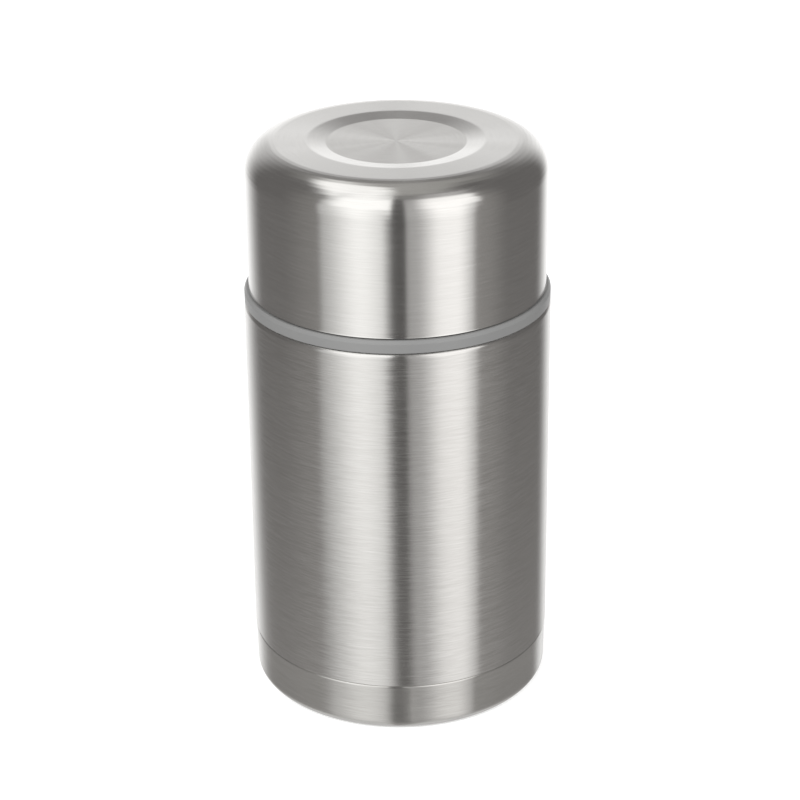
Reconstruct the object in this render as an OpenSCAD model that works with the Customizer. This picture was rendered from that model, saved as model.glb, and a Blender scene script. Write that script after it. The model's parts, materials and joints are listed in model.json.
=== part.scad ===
// Vacuum-insulated food jar with a screw stopper and a screw-on serving cup.
// Millimetres, +Z up, origin at the middle of the foot, on the surface that the jar stands on.

/* [Barrel] */
// Outer diameter of the steel barrel
body_d = 96; // [90:1:110]
// Height of the seam between base cup and barrel
base_h = 16.2; // [14:0.2:20]
// Height of the barrel, from the seam to its shoulder
barrel_h = 114.3; // [90:0.1:150]
// Thickness of the outer steel sheet
shell_t = 0.5; // [0.4:0.1:0.8]
// Thickness of the inner steel sheet
liner_t = 0.4; // [0.4:0.1:0.8]
// Evacuated space between the two barrel walls
vacuum_gap = 3; // [2:0.25:4]
// Rounding of the shoulder's edge, under the collar
shoulder_round = 1.6; // [0.8:0.1:2]

/* [Base] */
// Thickness of the base cup's sheet
base_t = 0.5; // [0.4:0.1:0.8]
// How far the base cup stands in from the barrel
base_inset = 0.1; // [0.1:0.05:0.3]
// How much narrower the base cup is at its foot than at its seam, on the radius
base_taper = 0.3; // [0:0.1:0.8]
// Rounding of the base cup's lower edge
base_round = 3; // [2:0.25:4]
// Width of the flat ring that the jar stands on
foot_w = 2.4; // [1.5:0.1:4]
// Height of the hollow inside the foot
foot_rise = 1.8; // [1:0.1:2.4]

/* [Collar] */
// How far the collar stands in from the barrel
collar_inset = 0.1; // [0:0.1:0.3]
// Height of the collar's visible band
collar_h = 3.9; // [3:0.1:6]
// Bevel on the band's upper edge
collar_bevel = 0.7; // [0.3:0.1:1]
// Wall between the neck and the root of the cup's thread
spigot_t = 2.2; // [1.8:0.1:2.8]

/* [Neck] */
// Evacuated space between the two neck walls
neck_gap = 0.9; // [0.7:0.1:1.2]
// Width of the ledge that the stopper's gasket seals on
seat_w = 3.6; // [3:0.1:4.5]
// Height of the straight throat under that ledge
throat_h = 3; // [2:0.25:4]
// Drop of the cone from the throat to the barrel wall
cone_drop = 6.6; // [5:0.2:9]

/* [Thread] */
// Ridges that start round each thread
thread_starts = 3; // [2:1:3]
// Distance between neighbouring ridges, along the axis
thread_pitch = 7; // [6:0.25:8]
// Angle that each ridge goes round, in degrees
thread_sweep = 110; // [90:5:115]
// How far a ridge stands off its wall
ridge_h = 1.3; // [1:0.1:1.5]
// Width of a ridge at its wall
ridge_w = 3; // [2.4:0.1:3.2]
// Width of a ridge at its crest
crest_w = 1.4; // [1:0.1:1.8]
// Radial room between a crest and the wall that it passes
thread_room = 0.4; // [0.3:0.05:0.6]

/* [Cup] */
// How far the cup stands in from the barrel
cup_inset = 1.4; // [1:0.1:2]
// Height of the cup
cup_h = 46.7; // [42:0.1:60]
// Thickness of the cup's steel sheet
cup_t = 0.5; // [0.4:0.1:0.8]
// Rounding of the cup's shoulder
cup_round = 9.3; // [8:0.1:13]
// Air space between the cup's shell and its liner
cup_gap = 0.5; // [0.3:0.1:0.8]
// Thickness of the cup's plastic liner
cup_liner_t = 1.5; // [1.2:0.1:1.8]
// Width of the cup's top from its side to the edge of the dish sunk into it
rim_w = 19.3; // [16:0.1:24]
// Width of the slope from that edge to the sunk disc
dish_slope = 5.8; // [4:0.1:7]
// Depth of the sunk disc
dish_depth = 0.8; // [0.6:0.1:1.6]

/* [Stopper] */
// Wall of the plug
plug_t = 2; // [1.6:0.1:2.4]
// Height of the silicone gasket on the plug
gasket_h = 2.8; // [2.2:0.1:3.4]
// How far the plug reaches below the ledge
plug_reach = 5.5; // [4:0.25:7]
// Thickness of the plug's flange
flange_t = 2; // [1.6:0.1:2.6]
// Wall of the grip cap
cap_t = 2; // [1.6:0.1:2.4]
// Room between the stopper's top and the ceiling of the cup
head_room = 13; // [10:0.5:16]
// Grip flutes round the cap
flute_count = 36; // [24:1:44]
// Radius of one grip flute
flute_r = 1.6; // [1.2:0.1:2]
// How deep a flute cuts
flute_depth = 0.7; // [0.4:0.1:0.9]

/* [Valve] */
// Diameter of the pressure-release button
button_d = 22; // [18:0.5:26]
// Travel of the button
button_travel = 2.5; // [2:0.1:3]
// Diameter of the valve stem
stem_d = 4.8; // [4:0.1:5.6]
// Diameter of the spring's wire
wire_d = 0.7; // [0.5:0.1:0.8]
// Turns of the spring
spring_turns = 4; // [3:1:4]
// Diameter of the valve's silicone disc
disc_d = 13; // [11:0.5:16]

/* [Hidden] */
$fn = 128;

arc_angle = 7.5;         // degrees of a rounded corner that one chord stands for
ridge_angle = 5;         // degrees between the rings of a ridge
overrun = 1;             // how far a cutter runs past what it cuts

// Fits between pieces
fit_gap = 0.15;          // between pieces that are pressed or snapped together
weld_gap = 0.05;         // between sheets that are welded edge to edge
run_gap = 0.25;          // between pieces that turn or slide on each other
rim_gap = 0.3;           // under the cup's rim and under the stopper's flange
thread_play = 0.25;      // along the axis, between the ridges that hold each other
thread_inset = 0.6;      // from a thread's end to the edge of its wall
ridge_bite = 0.3;        // how far a ridge is rooted in its wall
ridge_fade_share = 0.35; // height of a ridge at its very end, as a share of its full height

// Steel sheets
step_h = 0.3;            // height of the joggle that tucks the barrel into the base cup
sheet_round = 0.8;       // rounding of a small bend in the sheets
tuck_z = 4.4;            // lower edge of the barrel inside the base cup
closure_rise = 3.6;      // from that edge up to the top of the vacuum base
closure_round = 1.2;     // rounding of the vacuum base's edge
floor_gap = 3.5;         // evacuated space under the liner's floor
floor_round = 8;         // rounding between the liner's wall and floor
seam_rise = 2;           // from that rounding up to the weld that joins the bottom to the wall
cone_round = 6;          // rounding between the cone and the liner's wall
throat_round = 2;        // rounding between the throat and the cone
foil_t = 0.2;            // thickness of the reflective foil
foil_gap = 0.3;          // from the liner to the foil
foil_inset = 2;          // from the weld and the cone to the foil's ends
groove_w = 1.4;          // flat of the groove rolled into the neck
groove_d = 0.5;          // depth of that groove
bead_d = 0.4;            // how far the collar's snap bead stands out
bead_w = 0.8;            // flat of that bead
dimple_r = 5;            // flat of the dimple round the pump-out hole
dimple_h = 1.6;          // height of that dimple
pump_hole_r = 1.2;       // pump-out hole in the vacuum base
seal_h = 0.9;            // thickness of the glass bead that closes it
getter_x = 24;           // from the axis to the getter
getter_r = 4.5;          // radius of the getter pellet
getter_h = 1.6;          // height of the getter pellet
clip_t = 0.3;            // sheet of the getter's clip
clip_tab = 3;            // length and width of the clip's two tabs

// Cup
hem_w = 1.5;             // width of the hem turned in under the liner
dish_round_outer = 6;    // outer edge of the slope round the sunk disc
dish_round_inner = 2;    // crisp edge of that disc
cup_gasket_h = 1.6;      // height of the cup's gasket
cup_gasket_w = 3.4;      // width of the cup's gasket
step_w = 1.4;            // step in the liner that the gasket lies under
gasket_bevel = 0.4;      // bevel along a gasket's edges

// Stopper and valve
grip_inset = 0.2;        // from the neck's outside to the grip
cap_edge = 1;            // bevel of the grip cap's top edge
tray_depth = 2.5;        // depth of the ring-shaped tray in the cap's top
tray_rim = 5;            // width of the cap's raised rim
hub_w = 3;               // width of the raised hub round the button
snap_h = 1;              // height of the bead that keeps the gasket on the plug
snap_proud = 0.6;        // how far that bead stands out
throat_room = 1.6;       // radial room between the plug and the throat
foam_gap = 0.2;          // round the insulating foam
foam_drop = 0.5;         // from the flange's top down to the foam
tube_t = 2.3;            // wall of the tube round the stem
button_proud = 0.6;      // how far the button stands above the cap
button_edge = 0.8;       // bevel of the button's edge
button_t = 1.8;          // thickness of the button's top
button_skirt = 6;        // height of the button, skirt and all
boss_t = 1.2;            // wall of the socket under the button
boss_h = 2.4;            // depth of that socket
spring_room = 0.35;      // radial room inside the spring
spring_sides = 6;        // sides of the wire
spring_steps = 12;       // rings in one turn of the wire
disc_t = 1.6;            // thickness of the valve's silicone disc
disc_bevel = 0.8;        // its lower bevel
retainer_t = 1.2;        // thickness of the retainer
retainer_d = 9;          // diameter of the retainer
neck_in = 0.6;           // how much thinner the stem is where it carries them
head_h = 0.8;            // height of the snap head at the stem's end

steel = [0.62, 0.61, 0.59];
bright_steel = [0.72, 0.71, 0.7];
collar_grey = [0.58, 0.59, 0.6];
plastic_grey = [0.5, 0.51, 0.52];
liner_grey = [0.78, 0.79, 0.79];
silicone = [0.88, 0.88, 0.86];
foam_white = [0.93, 0.9, 0.82];
foil_silver = [0.85, 0.85, 0.86];
bead_glass = [0.25, 0.27, 0.3];
getter_grey = [0.45, 0.43, 0.42];

// Heights that follow from the sizes above
lead = thread_pitch * thread_starts;
thread_rise = lead * thread_sweep / 360;
shoulder_z = base_h + barrel_h;
band_z = shoulder_z + collar_h;
spigot_z = band_z + thread_inset + ridge_w + thread_rise + thread_inset;
mouth_z = spigot_z + cup_gasket_h;
flange_z = mouth_z + rim_gap;
flange_top = flange_z + flange_t;
cup_z = band_z + rim_gap;
cup_top = cup_z + cup_h;
ceiling_z = cup_top - dish_depth - cup_t - cup_gap - cup_liner_t;
cap_top = ceiling_z - head_room;
closure_z = tuck_z + closure_rise;
floor_z = closure_z + floor_gap + liner_t;
seam_z = floor_z + floor_round + seam_rise;

// Radii, from the outside in
body_r = body_d / 2;
base_r = body_r - base_inset;
foot_r = base_r - base_taper - base_round - foot_w;
tuck_r = base_r - base_taper - base_t - fit_gap;
liner_r = body_r - shell_t - vacuum_gap - liner_t;
collar_r = body_r - collar_inset;
cup_r = body_r - cup_inset;
cup_liner_r = cup_r - cup_t - cup_gap;
cup_wall_r = cup_liner_r - cup_liner_t;
liner_round = cup_round - cup_t - cup_gap;
spigot_r = cup_wall_r - thread_room - ridge_h;
collar_bore_r = spigot_r - spigot_t;
neck_r = collar_bore_r - fit_gap;
mouth_r = neck_r - shell_t - neck_gap - liner_t;
throat_r = mouth_r - seat_w;
plug_r = mouth_r - thread_room - ridge_h;
spout_r = throat_r - throat_room;
grip_r = neck_r - grip_inset;
button_r = button_d / 2;
well_r = button_r + run_gap;
stem_r = stem_d / 2;
stem_bore_r = stem_r + run_gap;
tube_r = stem_bore_r + tube_t;

// A ridge lies this far along the axis from the one that holds it
ridge_gap = ridge_w - (ridge_w - crest_w) / 2 * (ridge_h + thread_room) / ridge_h + thread_play;

// Stretch of a ridge that has passed its mate when the lid is closed. It puts the cup's ridges
// as far above the cup's hem as the collar's ridges are above the band.
free_rise = ridge_gap + rim_gap + cup_t;
free_angle = 360 * free_rise / lead;

// First and lowest point on the middle line of each thread
collar_thread_z = band_z + thread_inset + ridge_w / 2;
mouth_thread_z = mouth_z - thread_inset - ridge_w / 2 - thread_rise;
cup_thread_z = collar_thread_z + free_rise - ridge_gap;
plug_thread_z = mouth_thread_z - free_rise - ridge_gap;

// The plug below its thread
gasket_z = plug_thread_z - ridge_w / 2 - thread_inset;
seat_z = gasket_z - gasket_h;
throat_z = seat_z - throat_h;
cone_z = throat_z - cone_drop;
plug_z = seat_z - plug_reach;
groove_z = (band_z + spigot_z) / 2;
well_z = cap_top + button_proud - button_skirt - button_travel - run_gap;
button_top = cap_top + button_proud;
button_under = button_top - button_t;
coil_r = stem_r + boss_t + spring_room + wire_d / 2;

function unit(v) = v / norm(v);
function left_of(v) = [-v[1], v[0]];
function turn(a, b) = a[0] * b[1] - a[1] * b[0];
function reversed(list) = [for (i = [len(list) - 1 : -1 : 0]) list[i]];

// The corners of a path, moved by t to the left of its direction
function moved(path, t) = [
    for (i = [0 : len(path) - 1])
        let (last = len(path) - 1,
            a = left_of(unit(path[max(i, 1)] - path[max(i, 1) - 1])),
            b = left_of(unit(path[min(i, last - 1) + 1] - path[min(i, last - 1)])))
        path[i] + t * (a + b) / (1 + a * b)];

// Points on the arc of radius r that rounds the corner b between a and c
function corner(a, b, c, r) =
    let (u = unit(a - b),
        v = unit(c - b),
        half = acos(u * v) / 2)
    r <= 0 ? [b] :
    let (middle = b + unit(u + v) * r / sin(half),
        from = b + u * r / tan(half) - middle,
        to = b + v * r / tan(half) - middle,
        start = atan2(from[1], from[0]),
        sweep = (180 - 2 * half) * sign(turn(from, to)),
        steps = ceil(abs(sweep) / arc_angle))
    [for (k = [0 : steps])
        let (angle = start + sweep * k / steps)
        middle + r * [cos(angle), sin(angle)]];

// A path with its inner corners rounded by one radius each
function eased(path, radii) = [
    path[0],
    for (i = [1 : len(path) - 2]) each corner(path[i - 1], path[i], path[i + 1], radii[i - 1]),
    path[len(path) - 1]];

// The outline of a sheet of thickness t, bent along a path and lying to its left
function sheet(path, radii, t) =
    let (far_radii = [for (i = [1 : len(path) - 2])
            max(0, radii[i - 1] - t * sign(turn(path[i] - path[i - 1], path[i + 1] - path[i])))])
    concat(eased(path, radii), reversed(eased(moved(path, t), far_radii)));

module lathe(points) {
    rotate_extrude() polygon(points);
}

module ring(outer, inner, low, high) {
    lathe([[inner, low], [outer, low], [outer, high], [inner, high]]);
}

// A ring with both of its outer edges bevelled
module gasket(outer, inner, low, high) {
    lathe([
        [inner, low],
        [outer - gasket_bevel, low],
        [outer, low + gasket_bevel],
        [outer, high - gasket_bevel],
        [outer - gasket_bevel, high],
        [inner, high]]);
}

// One thread: ridges on a wall of radius wall_r, standing outwards (side 1) or inwards (side -1).
// low_z and first_angle are those of the first ridge's lowest end.
module thread(wall_r, side, low_z, first_angle) {
    steps = ceil(thread_sweep / ridge_angle);
    rings = [for (k = [0 : steps])
        let (angle = first_angle + thread_sweep * k / steps,
            z = low_z + thread_rise * k / steps,
            fade = min(1, ridge_fade_share * (1 + min(k, steps - k))),
            section = [
                [wall_r - side * ridge_bite, z - ridge_w / 2],
                [wall_r + side * ridge_h * fade, z - crest_w / 2],
                [wall_r + side * ridge_h * fade, z + crest_w / 2],
                [wall_r - side * ridge_bite, z + ridge_w / 2]])
        [for (p = side > 0 ? section : reversed(section)) [p[0] * cos(angle), p[0] * sin(angle), p[1]]]];
    for (start = [0 : thread_starts - 1])
        rotate(start * 360 / thread_starts) tube_of(rings);
}

// A solid through rings of equally many points, each in its own list
module tube_of(rings) {
    n = len(rings[0]);
    last = len(rings) - 1;
    polyhedron(
        points = [for (r = rings) each r],
        faces = concat(
            [for (k = [0 : last - 1], j = [0 : n - 1])
                [k * n + j, k * n + (j + 1) % n, (k + 1) * n + (j + 1) % n]],
            [for (k = [0 : last - 1], j = [0 : n - 1])
                [k * n + j, (k + 1) * n + (j + 1) % n, (k + 1) * n + j]],
            [for (j = [1 : n - 2]) [0, j + 1, j]],
            [for (j = [1 : n - 2]) [last * n, last * n + j, last * n + j + 1]]));
}

// Outer wall: barrel, shoulder and neck in one drawn sheet, joggled in at its foot
module outer_shell() {
    color(steel) lathe(sheet([
            [tuck_r, tuck_z],
            [tuck_r, base_h],
            [body_r, base_h + step_h],
            [body_r, shoulder_z],
            [neck_r, shoulder_z],
            [neck_r, groove_z - groove_w / 2 - groove_d],
            [neck_r - groove_d, groove_z - groove_w / 2],
            [neck_r - groove_d, groove_z + groove_w / 2],
            [neck_r, groove_z + groove_w / 2 + groove_d],
            [neck_r, mouth_z - liner_t]],
        [0, 0, shoulder_round, sheet_round, 0, 0, 0, 0], shell_t));
}

// Wall of the food bottle: lip, threaded mouth, sealing ledge, throat and barrel
module inner_liner() {
    color(bright_steel) {
        lathe(sheet([
                [neck_r, mouth_z],
                [mouth_r, mouth_z],
                [mouth_r, seat_z],
                [throat_r, seat_z],
                [throat_r, throat_z],
                [liner_r, cone_z],
                [liner_r, seam_z]],
            [sheet_round, sheet_round, sheet_round, throat_round, cone_round], liner_t));
        thread(mouth_r, -1, mouth_thread_z, 0);
    }
}

// Pressed bottom of the food bottle, welded to its wall
module liner_bottom() {
    color(bright_steel) lathe(sheet([
            [liner_r, seam_z],
            [liner_r, floor_z],
            [0, floor_z]],
        [floor_round], liner_t));
}

// Plate that closes the vacuum, with a dimple round its pump-out hole
module vacuum_base() {
    edge_r = tuck_r - shell_t - weld_gap;
    color(bright_steel) lathe(sheet([
            [edge_r, tuck_z],
            [edge_r, closure_z],
            [dimple_r + dimple_h, closure_z],
            [dimple_r, closure_z + dimple_h],
            [pump_hole_r, closure_z + dimple_h]],
        [closure_round, 0, 0], shell_t));
}

// Glass bead melted into the dimple
module pump_out_seal() {
    top = closure_z + dimple_h - shell_t;
    color(bead_glass) lathe([
        [0, top - seal_h],
        [dimple_r - shell_t, top - seal_h],
        [dimple_r - shell_t, top],
        [pump_hole_r - weld_gap, top],
        [pump_hole_r - weld_gap, top + shell_t],
        [0, top + shell_t]]);
}

module getter_clip() {
    cup_r_in = getter_r + fit_gap;
    color(getter_grey) translate([getter_x, 0, closure_z]) {
        cylinder(r = cup_r_in + clip_t, h = clip_t);
        ring(cup_r_in + clip_t, cup_r_in, 0, clip_t + getter_h / 2);
        for (side = [-1, 1])
            translate([-clip_tab / 2, side > 0 ? cup_r_in : -cup_r_in - clip_tab, 0])
                cube([clip_tab, clip_tab, clip_t]);
    }
}

module getter_pellet() {
    color("dimgray") translate([getter_x, 0, closure_z + clip_t]) cylinder(r = getter_r, h = getter_h);
}

// Foil wrapped round the liner inside the vacuum
module reflective_foil() {
    inner = liner_r + liner_t + foil_gap;
    color(foil_silver) ring(inner + foil_t, inner, seam_z + foil_inset, cone_z - cone_round - foil_inset);
}

module base_cup() {
    color(steel) lathe(sheet([
            [0, foot_rise],
            [foot_r - foot_rise, foot_rise],
            [foot_r, 0],
            [base_r - base_taper, 0],
            [base_r, base_h]],
        [sheet_round, sheet_round, base_round], base_t));
}

// Plastic collar: the visible band, and the threaded spigot snapped on the neck
module collar_ring() {
    bead_r = collar_bore_r - bead_d;
    color(collar_grey) {
        lathe([
            [collar_bore_r, shoulder_z + sheet_round],
            [collar_bore_r + sheet_round, shoulder_z],
            [collar_r - fit_gap, shoulder_z],
            [collar_r, shoulder_z + fit_gap],
            [collar_r, band_z - collar_bevel],
            [collar_r - collar_bevel, band_z],
            [spigot_r, band_z],
            [spigot_r, spigot_z - thread_inset],
            [spigot_r - thread_inset, spigot_z],
            [collar_bore_r, spigot_z],
            [collar_bore_r, groove_z + bead_w / 2 + bead_d],
            [bead_r, groove_z + bead_w / 2],
            [bead_r, groove_z - bead_w / 2],
            [collar_bore_r, groove_z - bead_w / 2 - bead_d]]);
        thread(spigot_r, 1, collar_thread_z, 0);
    }
}

module stopper_gasket() {
    color(silicone) gasket(plug_r - run_gap, spout_r + run_gap, seat_z, gasket_z);
}

// Plug: flange, threaded wall, spout with the gasket's seat, floor and stem tube
module stopper_plug() {
    color(plastic_grey) {
        lathe([
            [stem_bore_r, plug_z],
            [spout_r, plug_z],
            [spout_r, seat_z - rim_gap - 2 * snap_h],
            [spout_r + snap_proud, seat_z - rim_gap - snap_h],
            [spout_r, seat_z - rim_gap],
            [spout_r, gasket_z],
            [plug_r, gasket_z],
            [plug_r, flange_z],
            [grip_r, flange_z],
            [grip_r, flange_top],
            [plug_r - plug_t, flange_top],
            [plug_r - plug_t, gasket_z + plug_t],
            [spout_r - plug_t, gasket_z + plug_t],
            [spout_r - plug_t, plug_z + plug_t],
            [tube_r, plug_z + plug_t],
            [tube_r, flange_top],
            [stem_bore_r, flange_top]]);
        thread(plug_r, 1, plug_thread_z, -free_angle);
    }
}

// Insulating foam that fills the plug
module stopper_foam() {
    color(foam_white) lathe([
        [tube_r + foam_gap, plug_z + plug_t],
        [spout_r - plug_t - foam_gap, plug_z + plug_t],
        [spout_r - plug_t - foam_gap, gasket_z + plug_t],
        [plug_r - plug_t - foam_gap, gasket_z + plug_t + foam_gap],
        [plug_r - plug_t - foam_gap, flange_top - foam_drop],
        [tube_r + foam_gap, flange_top - foam_drop]]);
}

// Grip cap, with the button's well and the upper part of the stem's tube
module stopper_cap() {
    tray_z = cap_top - tray_depth;
    hub_r = well_r + hub_w;
    color(plastic_grey) difference() {
        lathe([
            [grip_r - cap_t, flange_top],
            [grip_r, flange_top],
            [grip_r, cap_top - cap_edge],
            [grip_r - cap_edge, cap_top],
            [grip_r - tray_rim, cap_top],
            [grip_r - tray_rim - tray_depth, tray_z],
            [hub_r + tray_depth, tray_z],
            [hub_r, cap_top],
            [well_r, cap_top],
            [well_r, well_z],
            [stem_bore_r, well_z],
            [stem_bore_r, flange_top],
            [tube_r, flange_top],
            [tube_r, well_z - cap_t],
            [well_r + cap_t, well_z - cap_t],
            [well_r + cap_t, tray_z - cap_t],
            [grip_r - cap_t, tray_z - cap_t]]);
        for (i = [0 : flute_count - 1])
            rotate(i * 360 / flute_count)
                translate([grip_r + flute_r - flute_depth, 0, flange_top + cap_t])
                    cylinder(r = flute_r, h = cap_top - flange_top - cap_t + overrun, $fn = 24);
    }
}

module valve_button() {
    color(collar_grey) lathe([
        [0, button_under],
        [stem_r + weld_gap, button_under],
        [stem_r + weld_gap, button_under - boss_h],
        [stem_r + boss_t, button_under - boss_h],
        [stem_r + boss_t, button_under],
        [button_r - cap_t, button_under],
        [button_r - cap_t, button_top - button_skirt],
        [button_r, button_top - button_skirt],
        [button_r, button_top - button_edge],
        [button_r - button_edge, button_top],
        [0, button_top]]);
}

// Stem: shank, thin neck through disc and retainer, and snap head
module valve_stem() {
    neck = stem_r - neck_in;
    neck_z = plug_z - disc_t - retainer_t;
    color(liner_grey) lathe([
        [0, neck_z - head_h],
        [neck, neck_z - head_h],
        [stem_r, neck_z],
        [neck, neck_z],
        [neck, plug_z],
        [stem_r, plug_z],
        [stem_r, button_under],
        [0, button_under]]);
}

// Return spring round the stem: one open coil
module valve_spring() {
    low = well_z + wire_d / 2;
    high = button_under - wire_d / 2;
    steps = spring_turns * spring_steps;
    rings = [for (k = [0 : steps])
        let (angle = 360 * k / spring_steps,
            z = low + (high - low) * k / steps)
        [for (j = [0 : spring_sides - 1])
            let (tilt = 360 * (j + 0.5) / spring_sides,
                r = coil_r + wire_d / 2 * cos(tilt))
            [r * cos(angle), r * sin(angle), z + wire_d / 2 * sin(tilt)]]];
    least_gap = min([
        for (k = [0 : steps - spring_steps], a = rings[k], b = rings[k + spring_steps]) norm(a - b)]);
    echo(spring_least_gap = least_gap);
    color(bright_steel) tube_of(rings);
}

module valve_seal() {
    color(silicone) lathe([
        [stem_r - neck_in + weld_gap, plug_z - disc_t],
        [disc_d / 2 - disc_bevel, plug_z - disc_t],
        [disc_d / 2, plug_z - disc_t + disc_bevel],
        [disc_d / 2, plug_z],
        [stem_r - neck_in + weld_gap, plug_z]]);
}

module valve_retainer() {
    color(liner_grey)
        ring(retainer_d / 2, stem_r - neck_in + weld_gap, plug_z - disc_t - retainer_t, plug_z - disc_t);
}

module cup_gasket() {
    outer = cup_wall_r - run_gap;
    color(silicone) gasket(outer, outer - cup_gasket_w, spigot_z, mouth_z);
}

// Steel cup: hem, wall, shoulder, and the top with its sunk disc
module cup_shell() {
    dish_r = cup_r - rim_w;
    color(steel) lathe(sheet([
            [cup_r - hem_w, cup_z],
            [cup_r, cup_z],
            [cup_r, cup_top],
            [dish_r, cup_top],
            [dish_r - dish_slope, cup_top - dish_depth],
            [0, cup_top - dish_depth]],
        [sheet_round, cup_round, dish_round_outer, dish_round_inner], cup_t));
}

// Plastic inside of the cup: threaded rim, gasket step and rounded bowl
module cup_liner() {
    rim_z = cup_z + cup_t;
    outside = eased([
            [cup_liner_r, rim_z],
            [cup_liner_r, ceiling_z + cup_liner_t],
            [0, ceiling_z + cup_liner_t]],
        [liner_round]);
    inside = eased([
            [cup_wall_r, rim_z],
            [cup_wall_r, mouth_z],
            [cup_wall_r - step_w, mouth_z],
            [cup_wall_r - step_w, ceiling_z],
            [0, ceiling_z]],
        [0, 0, liner_round - cup_liner_t]);
    color(liner_grey) {
        lathe(concat(outside, reversed(inside)));
        thread(cup_wall_r, -1, cup_thread_z, free_angle);
    }
}

outer_shell();
inner_liner();
liner_bottom();
vacuum_base();
pump_out_seal();
getter_clip();
getter_pellet();
reflective_foil();
base_cup();
collar_ring();
stopper_gasket();
stopper_plug();
stopper_cap();
stopper_foam();
valve_button();
valve_stem();
valve_spring();
valve_seal();
valve_retainer();
cup_gasket();
cup_shell();
cup_liner();
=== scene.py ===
import json
import math

import bmesh
import bpy
from mathutils import Matrix, Vector


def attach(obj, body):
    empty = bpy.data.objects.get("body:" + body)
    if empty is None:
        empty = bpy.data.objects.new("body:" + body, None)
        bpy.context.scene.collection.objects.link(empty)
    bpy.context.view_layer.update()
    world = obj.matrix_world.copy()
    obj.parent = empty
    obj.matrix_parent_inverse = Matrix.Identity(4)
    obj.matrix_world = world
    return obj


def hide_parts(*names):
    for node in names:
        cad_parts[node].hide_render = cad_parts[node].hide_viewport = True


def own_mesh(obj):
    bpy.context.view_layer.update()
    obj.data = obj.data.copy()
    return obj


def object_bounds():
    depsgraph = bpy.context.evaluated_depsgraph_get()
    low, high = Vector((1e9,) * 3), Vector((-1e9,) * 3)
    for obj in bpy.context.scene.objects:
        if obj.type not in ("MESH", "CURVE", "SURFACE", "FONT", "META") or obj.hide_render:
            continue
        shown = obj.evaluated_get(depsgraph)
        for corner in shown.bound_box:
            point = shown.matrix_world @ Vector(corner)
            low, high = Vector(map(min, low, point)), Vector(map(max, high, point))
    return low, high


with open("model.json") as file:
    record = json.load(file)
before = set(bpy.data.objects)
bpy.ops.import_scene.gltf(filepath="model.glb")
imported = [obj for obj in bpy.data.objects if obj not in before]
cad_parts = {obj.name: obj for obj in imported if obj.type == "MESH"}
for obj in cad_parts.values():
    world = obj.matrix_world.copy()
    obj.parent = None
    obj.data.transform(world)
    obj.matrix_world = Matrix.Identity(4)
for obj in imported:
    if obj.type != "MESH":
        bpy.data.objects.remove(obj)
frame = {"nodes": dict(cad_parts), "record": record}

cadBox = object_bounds()
mm = 0.001
fullTurn = 2 * math.pi
white = (1, 1, 1, 1)

bodyOf = {node: body for body, nodes in frame["record"]["behaviour"]["bodies"].items() for node in nodes}


# Camera: the photograph's own view, worked out from the jar's outline, rings and seam
photoCamera = {
    "place": (0, -0.70574, 0.41712),   # metres
    "aim": (0.00046, 0, 0.09363),      # what the middle of the picture looks at
    "roll": -0.511,                    # degrees
    "lens": 109.28, "sensor": 36,      # mm
    "clip": (0.01, 30),                # metres
}


def addCamera(settings):
    data = bpy.data.cameras.new("photoCamera")
    data.lens = settings["lens"]
    data.sensor_width = settings["sensor"]
    data.clip_start, data.clip_end = settings["clip"]
    obj = bpy.data.objects.new("photoCamera", data)
    bpy.context.scene.collection.objects.link(obj)
    place = Vector(settings["place"])
    level = (Vector(settings["aim"]) - place).to_track_quat("-Z", "Y").to_matrix().to_4x4()
    roll = Matrix.Rotation(math.radians(settings["roll"]), 4, "Z")
    obj.matrix_world = Matrix.Translation(place) @ level @ roll
    bpy.context.scene.camera = obj


addCamera(photoCamera)
bpy.context.scene.view_settings.view_transform = "Standard"
print("camera placed")


# Nodes, colours and materials
def linearColour(hexCode, level=1.0):
    channels = [int(hexCode[i:i + 2], 16) / 255 for i in (1, 3, 5)]
    return [level * (c / 12.92 if c <= 0.04045 else ((c + 0.055) / 1.055) ** 2.4) for c in channels] + [1.0]


def addNode(tree, kind, sockets=None, **settings):
    node = tree.nodes.new(kind)
    for name, value in settings.items():
        setattr(node, name, value)
    for name, value in (sockets or {}).items():
        if isinstance(value, bpy.types.NodeSocket):
            tree.links.new(value, node.inputs[name])
        else:
            node.inputs[name].default_value = value
    return node


mixBy, mixFrom, mixTo, mixed = 0, 6, 7, 2  # a Mix node's share, its two colours, and what comes out


def newMaterial(name):
    material = bpy.data.materials.new(name)
    material.use_nodes = True
    material.node_tree.nodes.clear()
    return material


def makeMaterial(surface, finish):
    # surface draws its pattern at a place in mm on the piece, and gives back the shader
    material = newMaterial(finish["material"])
    tree = material.node_tree
    place = addNode(tree, "ShaderNodeTexCoord").outputs["Object"]
    inMm = addNode(tree, "ShaderNodeVectorMath", {0: place, "Scale": 1 / mm}, operation="SCALE").outputs[0]
    shader = surface(tree, inMm, finish)
    addNode(tree, "ShaderNodeOutputMaterial", {"Surface": shader.outputs["BSDF"]})
    return material


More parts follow.
